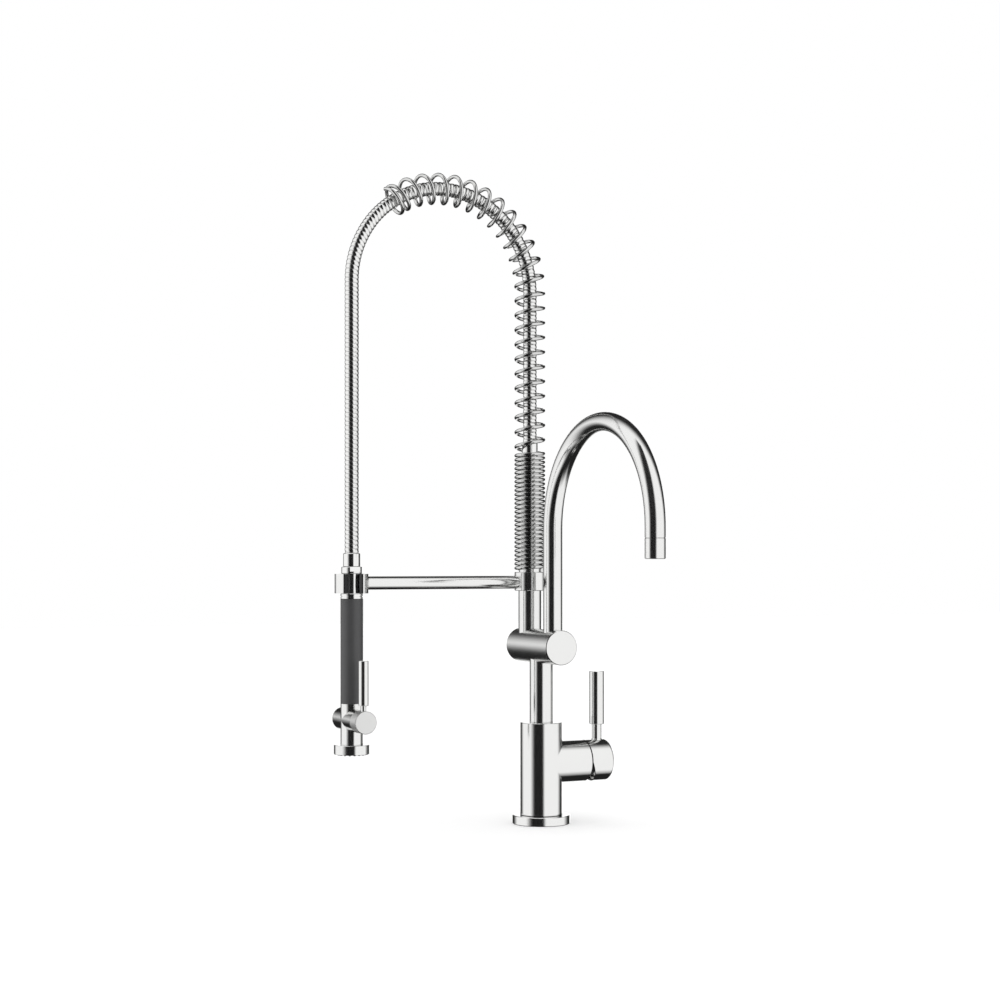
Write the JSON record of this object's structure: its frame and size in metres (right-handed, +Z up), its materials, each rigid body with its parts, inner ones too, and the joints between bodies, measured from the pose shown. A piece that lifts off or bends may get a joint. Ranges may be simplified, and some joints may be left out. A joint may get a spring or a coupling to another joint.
{
  "type": "kitchen mixer tap",
  "caption": "Single-lever kitchen mixer with a swivelling gooseneck spout and a sprung pull-down hand spray held in a docking ring on a side arm.",
  "frame": {"origin": "centre of the round base flange's underside, on the deck", "axes": "+Z up along the columns, -Y to the front along the spout, +X to the side with the main lever"},
  "size_m": [0.3021, 0.3042, 0.7448],
  "materials": {
    "brushed_stainless": "satin polished stainless steel",
    "polished_stainless": "polished stainless steel",
    "spring_steel": "drawn stainless spring wire",
    "hose_steel": "spiral-wound stainless hose",
    "grip_rubber": "smooth dark grey elastomer",
    "black_rubber": "moulded black rubber",
    "white_plastic": "moulded acetal",
    "dark_plastic": "moulded dark plastic",
    "brass": "turned brass",
    "zinc_steel": "zinc-plated steel"
  },
  "bodies": {
    "base": {"base_flange": "brushed_stainless", "base_gasket": "black_rubber", "mounting_shank": "brass", "deck_gasket": "black_rubber", "deck_washer": "zinc_steel", "shank_nut": "brass", "mixer_body": "brushed_stainless", "cartridge": "white_plastic", "cartridge_nut": "dark_plastic", "lower_column": "brushed_stainless", "crossbar": "brushed_stainless", "crossbar_front_cap": "brushed_stainless", "crossbar_back_cap": "brushed_stainless", "diverter_sleeve": "dark_plastic", "upper_column": "brushed_stainless", "spout_bush": "white_plastic"},
    "diverter": {"diverter_piston": "white_plastic"},
    "temperature_carrier": {"spindle_carrier": "white_plastic", "pivot_pin": "zinc_steel"},
    "main_handle": {"lever_spindle": "brass", "handle_cap": "brushed_stainless", "handle_screw": "zinc_steel", "handle_stem": "brushed_stainless", "handle_grip": "brushed_stainless"},
    "spout": {"spout_tube": "brushed_stainless", "spout_clip": "zinc_steel", "aerator_housing": "brushed_stainless", "aerator_insert": "white_plastic", "aerator_washer": "black_rubber"},
    "dock": {"swivel_collar": "brushed_stainless", "collar_bush": "white_plastic", "docking_arm": "brushed_stainless", "docking_ring": "brushed_stainless", "ring_liner": "black_rubber", "spring_close_coils": "spring_steel", "spring_riser_coils": "spring_steel", "spring_arch_coils": "spring_steel", "hose": "hose_steel", "hose_top_ferrule": "polished_stainless"},
    "spray_drop": {"hose_ferrule": "polished_stainless", "hose_nut": "polished_stainless"},
    "hand_spray": {"spray_neck": "brushed_stainless", "grip_sleeve": "grip_rubber", "grip_core": "white_plastic", "check_valve": "white_plastic", "spray_body": "brushed_stainless", "valve_back_cap": "brushed_stainless", "spray_head": "brushed_stainless", "nozzle_plate": "grip_rubber"},
    "spray_lever": {"spray_knob": "brushed_stainless", "valve_spindle": "brass", "spray_lever_stem": "brushed_stainless", "spray_lever_grip": "brushed_stainless"}
  },
  "joints": [
    {"name": "spout_swivel", "type": "hinge", "parent": "base", "child": "spout", "pos_m": [0, -0.027, 0.2], "axis": [0, 0, 1], "range_deg": [-90, 90]},
    {"name": "dock_swivel", "type": "hinge", "parent": "base", "child": "dock", "pos_m": [0, 0.027, 0.25], "axis": [0, 0, 1], "range_deg": [-150, 45]},
    {"name": "spray_pull", "type": "slide", "parent": "dock", "child": "spray_drop", "axis": [0, 0, -1], "range_m": [0, 0.06], "stiffness_N_per_m": 120, "springref_m": -0.12, "deforming": ["hose", "spring_arch_coils"]},
    {"name": "spray_turn", "type": "hinge", "parent": "spray_drop", "child": "hand_spray", "pos_m": [-0.206, 0.027, 0.267], "axis": [0, 0, 1], "continuous": true},
    {"name": "spray_valve", "type": "hinge", "parent": "hand_spray", "child": "spray_lever", "pos_m": [-0.206, 0.027, 0.1155], "axis": [0, -1, 0], "range_deg": [0, 90]},
    {"name": "handle_turn", "type": "hinge", "parent": "base", "child": "temperature_carrier", "pos_m": [0.046, 0, 0.0647], "axis": [1, 0, 0], "range_deg": [-50, 50]},
    {"name": "handle_lift", "type": "hinge", "parent": "temperature_carrier", "child": "main_handle", "pos_m": [0.046, 0, 0.0647], "axis": [0, 1, 0], "range_deg": [0, 19]},
    {"name": "diverter_shift", "type": "slide", "parent": "base", "child": "diverter", "axis": [0, 1, 0], "range_m": [0, 0.004]}
  ]
}
